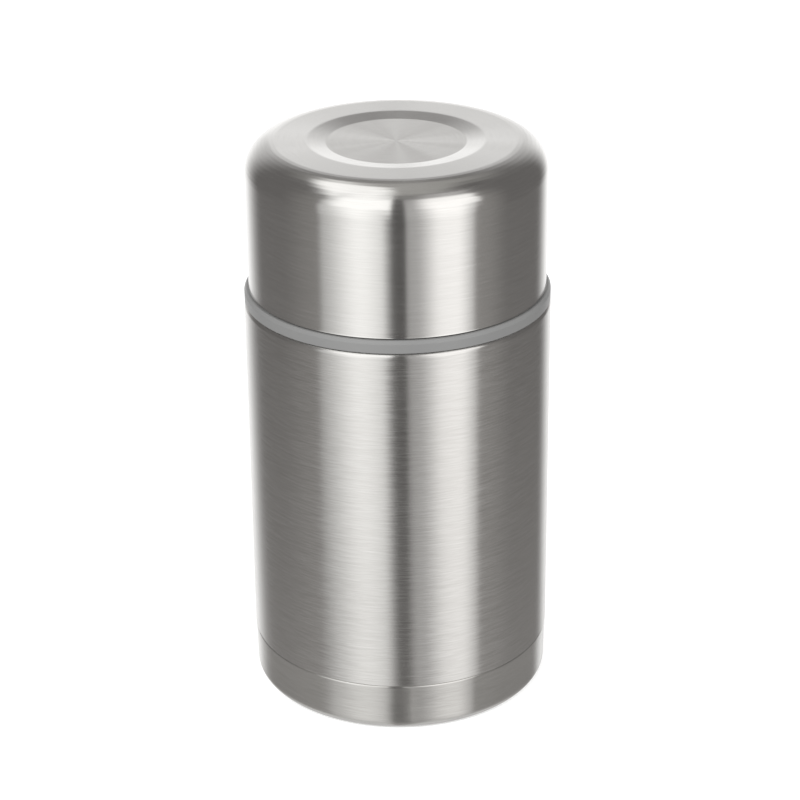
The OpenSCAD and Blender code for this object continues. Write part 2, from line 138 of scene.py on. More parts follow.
# Studio round the jar, as the steel mirrors it. Each panel is painted over the ones before it, and each of
# its edges runs from the angle where the panel isn't to the angle where it is full, in degrees.
# Azimuth 0 is behind the camera and grows to the right, and sideways is the same without its sign
studio = {
    "flags": ("#7C7A79", 0.86),       # grey cloth all round, where no panel is
    "lean": [(-24, 2.25), (-36, 9)],  # how far all lies to the right at one elevation, and at a lower one
    "panels": [
        {"what": "dim floor, below the boxes", "light": ("#B5B3B1", 1.0),
         "edges": [("elevation", -21, -50)]},
        {"what": "sweep behind the jar on the left, darker at its top", "light": ("#FFFFFF", 1.2),
         "edges": [("azimuth", -127, -166), ("elevation", 48, -8)]},
        {"what": "sweep behind the jar on the right", "light": ("#FFFFFF", 1.22),
         "edges": [("azimuth", 131, 161), ("elevation", 48, -8)]},
        {"what": "foot of the sweep on the right, wider than the rest", "light": ("#FFFFFF", 1.0),
         "edges": [("azimuth", 128, 164), ("elevation", -14, -34)]},
        {"what": "lowest part of the sweep right behind the jar", "light": ("#FFFFFF", 1.4),
         "edges": [("sideways", 167, 178), ("elevation", 29, 4), ("elevation", -12, -1)]},
        {"what": "ceiling", "light": ("#B3B2AF", 1.0),
         "edges": [("elevation", 58, 74)]},
        {"what": "ceiling behind the jar, which comes down lower", "light": ("#B3B2AF", 1.0),
         "edges": [("sideways", 110, 150), ("elevation", 38, 60)]},
        {"what": "glow on the flag left of the boxes", "light": ("#8F8D8B", 1.0),
         "edges": [("azimuth", -100, -64), ("azimuth", 0, -20), ("elevation", 60, 20)]},
        {"what": "glow on the flag right of the boxes", "light": ("#959391", 1.0),
         "edges": [("azimuth", 92, 65), ("azimuth", 0, 20), ("elevation", 60, 20)]},
        {"what": "soft box overhead, to the left", "light": ("#FFFFFE", 1.5),
         "edges": [("azimuth", -170, -150), ("azimuth", 10, -48), ("elevation", 51, 60)]},
        {"what": "left soft box, where it meets that one", "light": ("#FFFFFE", 1.4),
         "edges": [("azimuth", -92, -66), ("azimuth", -40, -60), ("elevation", 36, 52)]},
        {"what": "edge of the left soft box", "light": ("#FFFFFE", 0.68),
         "edges": [("azimuth", -65, -59), ("azimuth", -3, -8), ("elevation", 76, 40)]},
        {"what": "left soft box", "light": ("#FFFFFE", 1.47),
         "edges": [("azimuth", -62, -31), ("azimuth", 4, -31), ("elevation", 76, 40)]},
        {"what": "edge of the right soft box", "light": ("#FFFEFD", 0.55),
         "edges": [("azimuth", 1.5, 5), ("azimuth", 59.5, 55.5), ("elevation", 62, 40)]},
        {"what": "right soft box", "light": ("#FFFEFD", 1.48),
         "edges": [("azimuth", 9, 31), ("azimuth", 62, 43), ("elevation", 62, 35)]},
        {"what": "shade low on the right soft box", "light": ("#FFFEFD", 0.25),
         "edges": [("azimuth", 6, 14), ("azimuth", 40, 14), ("elevation", -14, -52)]},
        {"what": "upper part of the left soft box, lit evenly", "light": ("#FFFFFE", 1.55),
         "edges": [("azimuth", -62, -46), ("azimuth", -3, -9), ("elevation", 4, 24), ("elevation", 72, 40)]},
        {"what": "upper part of the right soft box", "light": ("#FFFEFD", 1.55),
         "edges": [("azimuth", 8, 32), ("azimuth", 67, 61), ("elevation", 4, 24), ("elevation", 56, 36)]},
        {"what": "gap between the boxes, with the camera in it", "light": ("#7C7A79", 0.6),
         "edges": [("azimuth", -8, -5), ("azimuth", 5, 2), ("elevation", 75, 45)]},
        {"what": "lower end of the gap, darker and wider to the left", "light": ("#7C7A79", 0.3),
         "edges": [("azimuth", -15, -7), ("azimuth", 5.5, 2.5), ("elevation", -4, -25)]},
        {"what": "grey table in front", "light": ("#A5A3A1", 1.0),
         "edges": [("sideways", 150, 120), ("elevation", -12, -62)]},
        {"what": "white paper round the foot, but not in front", "light": ("#FFFFFF", 0.8),
         "edges": [("sideways", 8, 20), ("elevation", -37, -56)]},
    ],
    "fill": 0.72,  # what matt surfaces see, all round
}


def lightStudio(settings):
    world = bpy.data.worlds.new("studio")
    bpy.context.scene.world = world
    world.use_nodes = True
    world.cycles.sampling_method = "NONE"  # each kind of ray has its own studio, so only traced rays meet it
    tree = world.node_tree
    tree.nodes.clear()
    direction = addNode(tree, "ShaderNodeTexCoord").outputs["Generated"]
    axes = addNode(tree, "ShaderNodeSeparateXYZ", {"Vector": direction}).outputs
    front = addNode(tree, "ShaderNodeMath", {0: axes["Y"], 1: -1.0}, operation="MULTIPLY").outputs[0]
    turn = addNode(tree, "ShaderNodeMath", {0: axes["X"], 1: front}, operation="ARCTAN2").outputs[0]
    bearing = addNode(tree, "ShaderNodeMath", {0: turn}, operation="DEGREES").outputs[0]
    rise = addNode(tree, "ShaderNodeMath", {0: axes["Z"]}, operation="ARCSINE").outputs[0]
    elevation = addNode(tree, "ShaderNodeMath", {0: rise}, operation="DEGREES").outputs[0]
    (high, leanHigh), (low, leanLow) = settings["lean"]
    lean = addNode(tree, "ShaderNodeMapRange", {
        "Value": elevation, "From Min": high, "From Max": low,
        "To Min": leanHigh, "To Max": leanLow}).outputs["Result"]
    azimuth = addNode(tree, "ShaderNodeMath", {0: bearing, 1: lean}, operation="SUBTRACT").outputs[0]
    sideways = addNode(tree, "ShaderNodeMath", {0: azimuth}, operation="ABSOLUTE").outputs[0]
    measures = {"azimuth": azimuth, "elevation": elevation, "sideways": sideways}
    colour = linearColour(*settings["flags"])
    for panel in settings["panels"]:
        share = 1.0
        for measure, none, full in panel["edges"]:
            edge = addNode(tree, "ShaderNodeMapRange", {
                "Value": measures[measure], "From Min": none, "From Max": full},
                interpolation_type="SMOOTHSTEP").outputs["Result"]
            share = addNode(tree, "ShaderNodeMath", {0: share, 1: edge}, operation="MULTIPLY").outputs[0]
        colour = addNode(tree, "ShaderNodeMix", {
            mixBy: share, mixFrom: colour, mixTo: linearColour(*panel["light"])},
            data_type="RGBA", label=panel["what"]).outputs[mixed]
    rays = addNode(tree, "ShaderNodeLightPath").outputs
    lit = addNode(tree, "ShaderNodeMix", {
        mixBy: rays["Is Glossy Ray"], mixFrom: linearColour("#FFFFFF", settings["fill"]), mixTo: colour},
        data_type="RGBA").outputs[mixed]
    straight = addNode(tree, "ShaderNodeMath", {
        0: rays["Is Camera Ray"], 1: rays["Is Transmission Ray"]}, operation="MAXIMUM").outputs[0]
    seen = addNode(tree, "ShaderNodeMix", {mixBy: straight, mixFrom: lit, mixTo: white},
                   data_type="RGBA").outputs[mixed]
    glow = addNode(tree, "ShaderNodeBackground", {"Color": seen, "Strength": 1.0})
    addNode(tree, "ShaderNodeOutputWorld", {"Surface": glow.outputs["Background"]})


lightStudio(studio)

# Lamps for what is matt, in metres and watts
softBoxes = {
    "left": {"place": (-0.75, -0.85, 1.15), "aim": (0, 0, 0.09), "size": 0.7, "power": 13.0},
    "right": {"place": (0.8, -0.75, 1.05), "aim": (0, 0, 0.09), "size": 0.7, "power": 7.0},
}


def addSoftBoxes(settings):
    for side, lamp in settings.items():
        data = bpy.data.lights.new("softBox_" + side, "AREA")
        data.size = lamp["size"]
        data.energy = lamp["power"]
        obj = bpy.data.objects.new("softBox_" + side, data)
        bpy.context.scene.collection.objects.link(obj)
        obj.location = lamp["place"]
        obj.rotation_euler = (Vector(lamp["aim"]) - obj.location).to_track_quat("-Z", "Y").to_euler()
        obj.visible_camera = False
        obj.visible_glossy = False  # the steel mirrors the studio's panels instead


addSoftBoxes(softBoxes)

floorSheet = {"width": 6.0, "tone": "#EFEFEF", "glow": 0.4}  # metres. Only the camera sees the glow


def addFloor(settings):
    bm = bmesh.new()
    bmesh.ops.create_grid(bm, x_segments=1, y_segments=1, size=settings["width"] / 2)
    mesh = bpy.data.meshes.new("floor")
    bm.to_mesh(mesh)
    bm.free()
    obj = bpy.data.objects.new("floor", mesh)
    bpy.context.scene.collection.objects.link(obj)
    material = newMaterial("whiteStudioPaper")
    tree = material.node_tree
    paper = addNode(tree, "ShaderNodeBsdfDiffuse", {"Color": linearColour(settings["tone"])}).outputs[0]
    glow = addNode(tree, "ShaderNodeEmission", {"Color": white, "Strength": settings["glow"]}).outputs[0]
    lit = addNode(tree, "ShaderNodeAddShader", {0: paper, 1: glow}).outputs[0]
    rays = addNode(tree, "ShaderNodeLightPath").outputs
    seen = addNode(tree, "ShaderNodeMixShader", {0: rays["Is Camera Ray"], 1: paper, 2: lit}).outputs[0]
    addNode(tree, "ShaderNodeOutputMaterial", {"Surface": seen})
    mesh.materials.append(material)
    obj.visible_glossy = False  # the steel mirrors the studio's own table and paper instead


addFloor(floorSheet)
print("studio lit")


# Modelling tools. Every piece is turned about the jar's axis. A corner of its outline is (radius, height,
# rounding) in mm
turning = {
    "steps": 256,         # round the axis, where a piece doesn't name its own
    "sectorSteps": 16,    # a sector of so many steps is spun, and then copied round the axis
    "roundingStep": 9,    # degrees that a rounded corner bends at each of its points
    "fewestSegments": 3,  # in a rounded corner
    "longFrom": 1.4,      # mm, from which a straight counts as long
    "hold": 0.35,         # mm from the ends of a long straight to the points that hold it flat
    "sharp": 38,          # degrees, past which an edge isn't shaded smooth
    "merge": 0.001,       # mm
}


def roundCorner(bm, vert, rounding):
    along = [(edge.other_vert(vert).co - vert.co).normalized() for edge in vert.link_edges]
    half = along[0].angle(along[1]) / 2
    segments = round(math.degrees(math.pi - 2 * half) / turning["roundingStep"])
    bmesh.ops.bevel(bm, geom=[vert], offset=rounding * mm / math.tan(half), offset_type="OFFSET",
                    segments=max(turning["fewestSegments"], segments), profile=0.5, affect="VERTICES",
                    material=-1, loop_slide=True, clamp_overlap=False)


def holdEdges(bm):
    # points close to both ends of each long straight, so that flat walls stay flat when shaded smooth
    hold = turning["hold"] * mm
    for edge in [e for e in bm.edges if e.calc_length() > turning["longFrom"] * mm]:
        vert = bmesh.utils.edge_split(edge, edge.verts[0], hold / edge.calc_length())[1]
        rest = max(vert.link_edges, key=lambda e: e.calc_length())
        bmesh.utils.edge_split(rest, vert, 1 - hold / rest.calc_length())


def spinAll(bm, angle, steps, rise=0, copies=False):
    # round the jar's axis, and up by rise on the way
    bmesh.ops.spin(bm, geom=bm.verts[:] + bm.edges[:] + bm.faces[:], cent=(0, 0, 0), axis=(0, 0, 1),
                   dvec=(0, 0, rise * mm / steps), angle=angle, steps=steps, use_merge=False,
                   use_duplicate=copies)


def closeSkin(bm):
    # merges what the spins left double, and turns the faces outwards
    bmesh.ops.remove_doubles(bm, verts=bm.verts, dist=turning["merge"] * mm)
    bmesh.ops.recalc_face_normals(bm, faces=bm.faces)


def turnProfile(bm, corners, closed, steps):
    verts = [bm.verts.new((radius * mm, 0, height * mm)) for radius, height, rounding in corners]
    for start, end in zip(verts, verts[1:] + verts[:1] if closed else verts[1:]):
        bm.edges.new((start, end))
    for vert, (radius, height, rounding) in zip(verts, corners):
        if rounding:
            roundCorner(bm, vert, rounding)
    holdEdges(bm)
    sectors = steps // turning["sectorSteps"]
    spinAll(bm, fullTurn / sectors, turning["sectorSteps"])
    spinAll(bm, fullTurn - fullTurn / sectors, sectors - 1, copies=True)
    closeSkin(bm)


def addThread(bm, thread):
    # ridges that wind round the wall and run out into it at both ends
    sweep = math.radians(thread["sweep"])
    side = thread["side"]
    foot = thread["wall"] - side * thread["bite"]
    crest = thread["wall"] + side * thread["height"]
    half, top = thread["footWidth"] / 2, thread["crestWidth"] / 2
    section = [(foot, -half), (crest, -top), (crest, top), (foot, half)]
    for start in range(thread["starts"]):
        ridge = bmesh.new()
        ridge.faces.new([ridge.verts.new((radius * mm, 0, (thread["low"] + height) * mm))
                         for radius, height in section])
        spinAll(ridge, sweep, thread["steps"], rise=thread["rise"])
        closeSkin(ridge)
        onCrest = [e for e in ridge.edges
                   if all(abs(v.co.xy.length - crest * mm) < turning["merge"] * mm for v in e.verts)]
        lengthwise = [e for e in onCrest if abs(e.verts[0].co.z - e.verts[1].co.z) < top * mm]
        bmesh.ops.bevel(ridge, geom=lengthwise, offset=thread["crestBevel"] * mm, offset_type="OFFSET",
                        segments=3, profile=0.5, affect="EDGES", material=-1, loop_slide=True,
                        clamp_overlap=True)
        for vert in ridge.verts:
            along = math.atan2(vert.co.y, vert.co.x) / sweep
            height = min(1, thread["endHeight"] + thread["growth"] * min(along, 1 - along))
            radius = vert.co.xy.length / mm
            if (radius - thread["wall"]) * side > 0:
                vert.co.xy *= (thread["wall"] + (radius - thread["wall"]) * height) / radius
        turn = math.radians(thread["firstAngle"]) + start * fullTurn / thread["starts"]
        bmesh.ops.rotate(ridge, verts=ridge.verts, cent=(0, 0, 0), matrix=Matrix.Rotation(turn, 3, "Z"))
        mesh = bpy.data.meshes.new("ridge")
        ridge.to_mesh(mesh)
        bm.from_mesh(mesh)
        bpy.data.meshes.remove(mesh)
        ridge.free()


def finishPiece(settings, bm, material):
    mesh = bpy.data.meshes.new(settings["name"])
    bm.to_mesh(mesh)
    bm.free()
    mesh.materials.append(material)
    mesh.shade_smooth()
    mesh.set_sharp_from_angle(angle=math.radians(turning["sharp"]))
    piece = bpy.data.objects.new(settings["name"], mesh)
    bpy.context.scene.collection.objects.link(piece)
    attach(piece, bodyOf[settings["node"]])
    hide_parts(settings["node"])
    print(settings["name"], "made,", sum(len(face.vertices) - 2 for face in mesh.polygons), "triangles")
    return piece


def turnedPiece(settings, material):
    bm = bmesh.new()
    turnProfile(bm, settings["corners"], settings.get("closed", False),
                settings.get("steps", turning["steps"]))
    if settings.get("pathIsInside"):
        bmesh.ops.reverse_faces(bm, faces=bm.faces)
    if "sheet" in settings:
        bmesh.ops.solidify(bm, geom=bm.faces[:], thickness=settings["sheet"] * mm)
    if "thread" in settings:
        addThread(bm, settings["thread"])
    return finishPiece(settings, bm, material)


# Heights that pieces share, in mm from the ground
rim = 4.4                # lower end of the barrel, and of the plate that closes the vacuum
seam = 16.2              # top of the base cup
weld = 21.9              # between the bottle's wall and its floor
plugFloor = 122.492      # underside of the plug, which the valve's disc seals
ledge = 127.992          # of the bottle, which the plug's gasket seals on
shoulder = 130.5         # top of the barrel's wall, and foot of the collar
bandTop = 134.4          # of the collar
hem = bandTop + 0.3      # of the cup, just over the collar
bead = 139.71            # round the neck, which the collar snaps over
spigotTop = 145.017      # of the collar, which carries the cup's gasket
lip = 146.617            # of the bottle, which meets that gasket
flange = 148.917         # where the grip cap sits on the plug
wellFloor = 156.95       # under the button's spring
stemTop = 163.9          # in the button
capTop = 165.1           # of the stopper
jarTop = round(cadBox[1][2] / mm, 3)


# Stainless steel sheet, brushed round the jar's axis on a lathe: fine lines run round it, so lights smear
# along its height into upright bands, and into fans on the flat top, where a painted sheen in fans is added
def brushedSteel(tree, inMm, finish):
    top = finish.get("top")
    axes = addNode(tree, "ShaderNodeSeparateXYZ", {"Vector": inMm}).outputs
    level = addNode(tree, "ShaderNodeCombineXYZ", {"X": axes["X"], "Y": axes["Y"]}).outputs[0]
    radius = addNode(tree, "ShaderNodeVectorMath", {0: level}, operation="LENGTH").outputs["Value"]
    across = addNode(tree, "ShaderNodeMath", {0: axes["Z"], 1: radius}, operation="SUBTRACT").outputs[0]
    brushed = addNode(tree, "ShaderNodeCombineXYZ", {
        "X": axes["X"], "Y": axes["Y"], "Z": across}).outputs[0]
    streaks = 0.5
    for number, (width, length, strength) in enumerate(finish["lines"]):
        scaled = addNode(tree, "ShaderNodeVectorMath", {
            0: brushed, 1: (1 / length, 1 / length, 1 / width)}, operation="MULTIPLY").outputs[0]
        lines = addNode(tree, "ShaderNodeTexNoise", {
            "Vector": scaled, "Scale": 1.0, "Detail": 2.0, "Roughness": 0.6}).outputs["Fac"]
        centred = addNode(tree, "ShaderNodeMath", {0: lines, 1: 0.5}, operation="SUBTRACT").outputs[0]
        drawn = strength
        if top:
            drawn = addNode(tree, "ShaderNodeMapRange", {
                "Value": axes["Z"], "From Min": top["shoulderFrom"], "From Max": top["flatFrom"],
                "To Min": strength, "To Max": strength * top["lineShares"][number]}).outputs["Result"]
        streaks = addNode(tree, "ShaderNodeMath", {
            0: centred, 1: drawn, 2: streaks}, operation="MULTIPLY_ADD").outputs[0]
    cloudy = addNode(tree, "ShaderNodeTexNoise", {
        "Vector": inMm, "Scale": 1 / finish["cloudSize"], "Detail": 3.0}).outputs["Fac"]
    cloud = addNode(tree, "ShaderNodeMath", {0: cloudy, 1: 0.5}, operation="SUBTRACT").outputs[0]
    tone = addNode(tree, "ShaderNodeMath", {
        0: cloud, 1: finish["cloudStrength"], 2: streaks}, operation="MULTIPLY_ADD").outputs[0]
    # on the top: a duller disc, and a painted sheen in fans round the middle
    if top:
        tone = toneOfTop(tree, tone, axes["Z"], level, radius, top)
    colour = addNode(tree, "ShaderNodeMix", {
        mixBy: tone, mixFrom: linearColour(finish["dark"]), mixTo: linearColour(finish["light"])},
        data_type="RGBA").outputs[mixed]
    rough = addNode(tree, "ShaderNodeMapRange", {
        "Value": tone, "From Min": 0.35, "From Max": 0.65,
        "To Min": finish["smoothest"], "To Max": finish["roughest"]}).outputs["Result"]
    bump = addNode(tree, "ShaderNodeBump", {
        "Height": streaks, "Strength": 1.0, "Distance": finish["grooves"] * mm}).outputs["Normal"]
    skewed = addNode(tree, "ShaderNodeVectorRotate", {
        "Vector": bump, "Angle": math.radians(finish["skew"])}, rotation_type="Z_AXIS").outputs[0]
    around = addNode(tree, "ShaderNodeVectorMath", {
        0: (0, 0, 1), 1: inMm}, operation="CROSS_PRODUCT").outputs[0]
    tangent = addNode(tree, "ShaderNodeVectorTransform", {"Vector": around}, vector_type="VECTOR",
                      convert_from="OBJECT", convert_to="WORLD").outputs[0]
    return addNode(tree, "ShaderNodeBsdfPrincipled", {
        "Base Color": colour, "Metallic": 1 - finish["haze"], "Roughness": rough,
        "Anisotropic": finish["anisotropy"], "Anisotropic Rotation": 0.25, "Tangent": tangent,
        "Normal": skewed})


def toneOfTop(tree, tone, height, level, radius, top):
    # the sunk disc is duller, and a painted sheen varies round the middle, in fans like the highlights that a
    # spun top mirrors
    inDisc = addNode(tree, "ShaderNodeMapRange", {
        "Value": radius, "From Min": top["discRadius"] + top["discEdge"], "From Max": top["discRadius"],
        "To Min": 0.0, "To Max": -top["discDullness"]}).outputs["Result"]
    # painted sheen in fans: noise by the angle round the axis, drawn into the steel's tone
    spoke = addNode(tree, "ShaderNodeVectorMath", {0: level}, operation="NORMALIZE").outputs[0]
    paintedSheen = addNode(tree, "ShaderNodeTexNoise", {
        "Vector": spoke, "Scale": top["fanScale"], "Detail": 1.0}).outputs["Fac"]
    fan = addNode(tree, "ShaderNodeMapRange", {
        "Value": paintedSheen, "To Min": -top["fanStrength"] / 2,
        "To Max": top["fanStrength"] / 2}).outputs["Result"]
    change = addNode(tree, "ShaderNodeMath", {0: inDisc, 1: fan}, operation="ADD").outputs[0]
    onTop = addNode(tree, "ShaderNodeMath", {
        0: height, 1: top["flatFrom"]}, operation="GREATER_THAN").outputs[0]
    return addNode(tree, "ShaderNodeMath", {
        0: change, 1: onTop, 2: tone}, operation="MULTIPLY_ADD").outputs[0]


# Barrel: drawn from one sheet, with a small round shoulder under the collar and a joggle into the base
barrel = {
    "name": "brushedBarrel", "node": "outer_shell", "slot": "brushed_steel",
    "corners": [
        (46.95, rim, 0), (46.95, seam - 0.05, 0.1), (48, seam + 0.2, 0.1), (48, shoulder, 1.6),
        (40.05, shoulder, 0.8), (40.05, bead - 1.2, 0.2), (39.55, bead - 0.7, 0.2),
        (39.55, bead + 0.7, 0.2), (40.05, bead + 1.2, 0.2), (40.05, lip - 0.4, 0)],
    "sheet": 0.5,
}
barrelFinish = {
    "material": "stainlessSteelBrushedSatin",
    "dark": "#C2C0BD", "light": "#E1E0DE",
    # width and length of the lines in mm, and strength. The finest real ones are 0.05 mm wide, and are
    # drawn as wide as a dot of the picture, because they would not show
    "lines": [(0.32, 7, 0.9), (0.9, 24, 0.27), (4, 80, 0.06)],
    "cloudSize": 38, "cloudStrength": 0.2,
    "roughest": 0.24, "smoothest": 0.175, "anisotropy": 0.9,
    "grooves": 0.002,  # their depth in mm
    "skew": 0,         # degrees that the mirrored bands lie to one side
    "haze": 0,         # share of the light that is scattered and not mirrored
}
turnedPiece(barrel, makeMaterial(brushedSteel, barrelFinish))


# Base cup: the same steel, a shade darker and with fainter lines, rounded to a ring that it stands on
baseCup = {
    "name": "brushedBaseCup", "node": "base_cup", "slot": "brushed_steel",
    "corners": [
        (0, 1.8, 0), (40.4, 1.8, 0.8), (42.2, 0, 0.8), (47.6, 0, 3), (47.62, 7, 200), (47.9, seam, 0.5),
        (47.4, seam, 0)],
    "sheet": 0.5,
}
baseFinish = dict(
    barrelFinish, material="stainlessSteelBrushedDull", dark="#B9B7B4", light="#D7D6D3",
    lines=[(0.32, 7, 0.65), (0.9, 24, 0.22), (4, 80, 0.06)], roughest=0.19, smoothest=0.15,
    skew=2.4, haze=0.05)
turnedPiece(baseCup, makeMaterial(brushedSteel, baseFinish))


# Cup: the lid to drink from, brushed finer, so that its bands are crisper. Its top has a sunk disc
cup = {
    "name": "brushedCup", "node": "cup_shell", "slot": "brushed_steel",
    "corners": [
        (45.1, hem, 0), (46.6, hem, 0.12), (46.5, hem + 0.35, 0.3), (46.5, jarTop, 9.2),
        (27.3, jarTop, 6), (21.5, jarTop - 0.8, 2), (0, jarTop - 0.8, 0)],
    "sheet": 0.5,
}
cupFinish = dict(
    barrelFinish, material="stainlessSteelBrushedFine", dark="#B6B4B1", light="#F0EFED",
    lines=[(0.32, 8, 0.28), (0.9, 24, 0.13), (4, 80, 0.06)], cloudStrength=0.1,
    roughest=0.22, smoothest=0.145)
cupFinish["top"] = {
    "shoulderFrom": 171, "flatFrom": 179,  # heights in mm, between which the lines change to the top's own
    "lineShares": (0.9, 0.4, 0),           # what is left there of each width of line
    "discRadius": 21.3, "discEdge": 0.5, "discDullness": 0.35,
    # the sheen here is painted into the steel's tone, in fans like mirrored highlights
    "fanScale": 1.8, "fanStrength": 0.65,  # how often the sheen changes round the middle, and how much
}
turnedPiece(cup, makeMaterial(brushedSteel, cupFinish))
print("steel shells made")


# Polypropylene, injection moulded in a spark-eroded mould: an even matt skin with a fine grain
def mouldedPlastic(tree, inMm, finish):
    flow = addNode(tree, "ShaderNodeTexNoise", {
        "Vector": inMm, "Scale": 1 / finish["flowSize"], "Detail": 2.0}).outputs["Fac"]
    grain = addNode(tree, "ShaderNodeTexNoise", {
        "Vector": inMm, "Scale": 1 / finish["grainSize"], "Detail": 2.0}).outputs["Fac"]
    colour = addNode(tree, "ShaderNodeMix", {
        mixBy: flow, mixFrom: linearColour(finish["dark"]), mixTo: linearColour(finish["light"])},
        data_type="RGBA").outputs[mixed]
    rough = addNode(tree, "ShaderNodeMapRange", {
        "Value": grain, "From Min": 0.3, "From Max": 0.7,
        "To Min": finish["roughest"], "To Max": finish["smoothest"]}).outputs["Result"]
    bump = addNode(tree, "ShaderNodeBump", {
        "Height": grain, "Strength": 1.0, "Distance": finish["grainDepth"] * mm}).outputs["Normal"]
    return addNode(tree, "ShaderNodeBsdfPrincipled", {
        "Base Color": colour, "Roughness": rough, "IOR": finish["ior"], "Normal": bump})


threadForm = {
    "starts": 3, "sweep": 110, "rise": 6.417, "steps": 55,  # degrees and mm that one ridge winds and climbs
    "height": 1.3, "footWidth": 3, "crestWidth": 1.4, "crestBevel": 0.35, "bite": 0.3,
    "endHeight": 0.3, "growth": 9,  # share of the height at a ridge's ends, and how fast it grows from them
}
closedThreadTurn = 51.49  # degrees from the start of a ridge to that of its mate on a closed lid

# Collar: the grey band, and the threaded spigot that the cup screws on
collar = {
    "name": "mouldedCollar", "node": "collar_ring", "slot": "collar_plastic", "closed": True,
    "corners": [
        (40.2, shoulder + 0.8, 0.2), (41, shoulder, 0.2), (47.9, shoulder, 0.15),
        (47.9, bandTop - 1, 0.3), (47.25, bandTop, 0.25), (42.4, bandTop, 0.3),
        (42.4, spigotTop - 0.6, 0.3), (41.8, spigotTop, 0.3), (40.2, spigotTop, 0.2),
        (40.2, bead + 0.8, 0.1), (39.8, bead + 0.4, 0.1), (39.8, bead - 0.4, 0.1), (40.2, bead - 0.8, 0.1)],
    "thread": dict(threadForm, side=1, wall=42.4, low=136.5, firstAngle=0),
}
collarFinish = {
    "material": "polypropyleneMouldedGrey", "dark": "#7C7C7C", "light": "#838382", "flowSize": 22,
    # in mm. The real grain is about 0.1 mm wide, too fine to show, and is drawn a dot of the picture wide
    "grainSize": 0.35, "grainDepth": 0.004, "roughest": 0.4, "smoothest": 0.32, "ior": 1.49,
}
turnedPiece(collar, makeMaterial(mouldedPlastic, collarFinish))

# Cup liner: a pale shell that keeps a drink off the steel, with a step for the gasket above its thread
cupLiner = {
    "name": "mouldedCupLiner", "node": "cup_liner", "slot": "cup_plastic",
    "corners": [
        (0, jarTop - 1.8, 0), (45.6, jarTop - 1.8, 8.3), (45.6, hem + 0.5, 0.2), (44.1, hem + 0.5, 0.2),
        (44.1, lip, 0.1), (42.7, lip, 0.15), (42.7, jarTop - 3.3, 6.8), (0, jarTop - 3.3, 0)],
    "thread": dict(threadForm, side=-1, wall=44.1, low=137.3, firstAngle=closedThreadTurn),
}
cupLinerFinish = dict(
    collarFinish, material="polypropyleneMouldedPale", dark="#C3C4C2", light="#CCCDCB",
    roughest=0.42, smoothest=0.3)
turnedPiece(cupLiner, makeMaterial(mouldedPlastic, cupLinerFinish))
print("collar and cup liner made")


# Food bottle: the same steel, deep drawn and then polished in a lathe, so its lines are faint
bottle = {
    "name": "drawnBottleWall", "node": "inner_liner", "slot": "liner_steel",
    "corners": [
        (40.05, lip, 0), (38.25, lip, 0.8), (38.25, ledge, 0.8), (34.65, ledge, 0.8),
        (34.65, ledge - 3, 2), (44.1, ledge - 9.6, 6), (44.1, weld, 0)],
    "sheet": 0.4, "pathIsInside": True,
    "thread": dict(threadForm, side=-1, wall=38.25, low=138.1, firstAngle=0),
}
bottleFinish = dict(
    barrelFinish, material="stainlessSteelDrawnPolished", dark="#CDCBC8", light="#E6E5E2",
    lines=[(0.32, 20, 0.25), (1.5, 60, 0.2)], cloudSize=30, cloudStrength=0.4,
    roughest=0.22, smoothest=0.13, anisotropy=0.6, grooves=0.001)
turnedPiece(bottle, makeMaterial(brushedSteel, bottleFinish))

bottleFloor = {
    "name": "drawnBottleFloor", "node": "liner_bottom", "slot": "liner_steel",
    "corners": [(44.1, weld, 0), (44.1, weld - 10, 8), (0, weld - 10, 0)],
    "sheet": 0.4, "pathIsInside": True,
}
bottleFloorFinish = dict(bottleFinish, material="stainlessSteelPressedPolished")
turnedPiece(bottleFloor, makeMaterial(brushedSteel, bottleFloorFinish))


# Mill-finish sheet metal, pressed: plain grey and cloudy, with small pits and no lines
def pressedSheet(tree, inMm, finish):
    cloud = addNode(tree, "ShaderNodeTexNoise", {
        "Vector": inMm, "Scale": 1 / finish["cloudSize"], "Detail": 4.0}).outputs["Fac"]
    pits = addNode(tree, "ShaderNodeTexVoronoi", {
        "Vector": inMm, "Scale": 1 / finish["pitSpacing"]}).outputs["Distance"]
    pitted = addNode(tree, "ShaderNodeMapRange", {
        "Value": pits, "From Min": 0.1, "From Max": 0.3}).outputs["Result"]
    tone = addNode(tree, "ShaderNodeMath", {0: cloud, 1: pitted}, operation="MULTIPLY").outputs[0]
    colour = addNode(tree, "ShaderNodeMix", {
        mixBy: tone, mixFrom: linearColour(finish["dark"]), mixTo: linearColour(finish["light"])},
        data_type="RGBA").outputs[mixed]
    rough = addNode(tree, "ShaderNodeMapRange", {
        "Value": cloud, "From Min": 0.3, "From Max": 0.7,
        "To Min": finish["roughest"], "To Max": finish["smoothest"]}).outputs["Result"]
    bump = addNode(tree, "ShaderNodeBump", {
        "Height": pitted, "Strength": 1.0, "Distance": finish["pitDepth"] * mm}).outputs["Normal"]
    return addNode(tree, "ShaderNodeBsdfPrincipled", {
        "Base Color": colour, "Metallic": 1.0, "Roughness": rough, "Normal": bump})


# Vacuum base: the plate welded in under the bottle, with a dimple round its pump-out hole
vacuumBase = {
    "name": "pressedVacuumBase", "node": "vacuum_base", "slot": "liner_steel",
    "corners": [(46.4, rim, 0), (46.4, 8, 1.2), (6.6, 8, 0.3), (5, 9.6, 0.3), (1.2, 9.6, 0)],
    "sheet": 0.5,
}
vacuumBaseFinish = {
    "material": "stainlessSteelMillFinishPressed", "dark": "#A9A8A6", "light": "#CFCECB",
    "cloudSize": 9, "pitSpacing": 0.8, "pitDepth": 0.004, "roughest": 0.42, "smoothest": 0.28,
}
turnedPiece(vacuumBase, makeMaterial(pressedSheet, vacuumBaseFinish))
print("bottle and vacuum base made")


